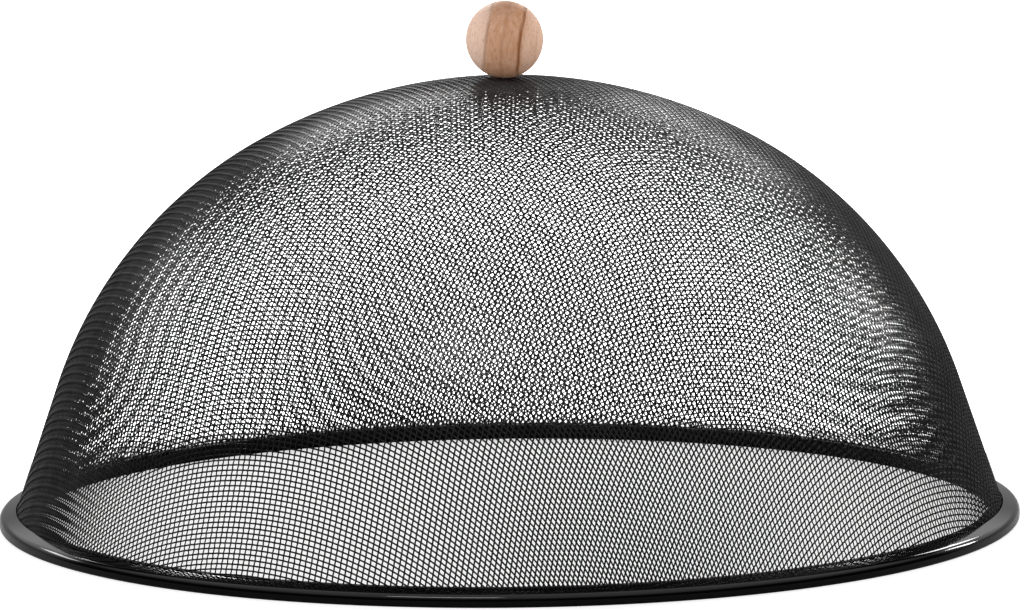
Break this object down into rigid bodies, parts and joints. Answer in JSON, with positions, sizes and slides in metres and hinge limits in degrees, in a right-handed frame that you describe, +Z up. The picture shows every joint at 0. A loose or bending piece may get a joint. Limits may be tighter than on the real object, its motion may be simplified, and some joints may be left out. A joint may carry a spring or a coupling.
{
  "type": "food cover",
  "caption": "Domed food cover of black wire cloth with a rolled steel rim and a beech ball knob, set over a plate to keep insects off.",
  "frame": {"origin": "centre of the rim's resting plane, on the table under the middle of the dome", "axes": "+Z up along the dome's axis through the ball knob, -Y towards the picture's viewer, +X to the viewer's right"},
  "size_m": [0.33, 0.33, 0.1675],
  "materials": {
    "black_wire_cloth": "satin black coat on woven steel wire",
    "black_rim": "semi-gloss black coat on rolled steel",
    "beech": "fine-sanded turned beech, matt clear finish",
    "zinc_plated_steel": "bright zinc plate"
  },
  "bodies": {
    "root": {"mesh_dome": "black_wire_cloth", "rim_channel": "black_rim", "ball_knob": "beech", "inner_washer": "zinc_plated_steel", "knob_screw": "zinc_plated_steel"}
  },
  "joints": []
}
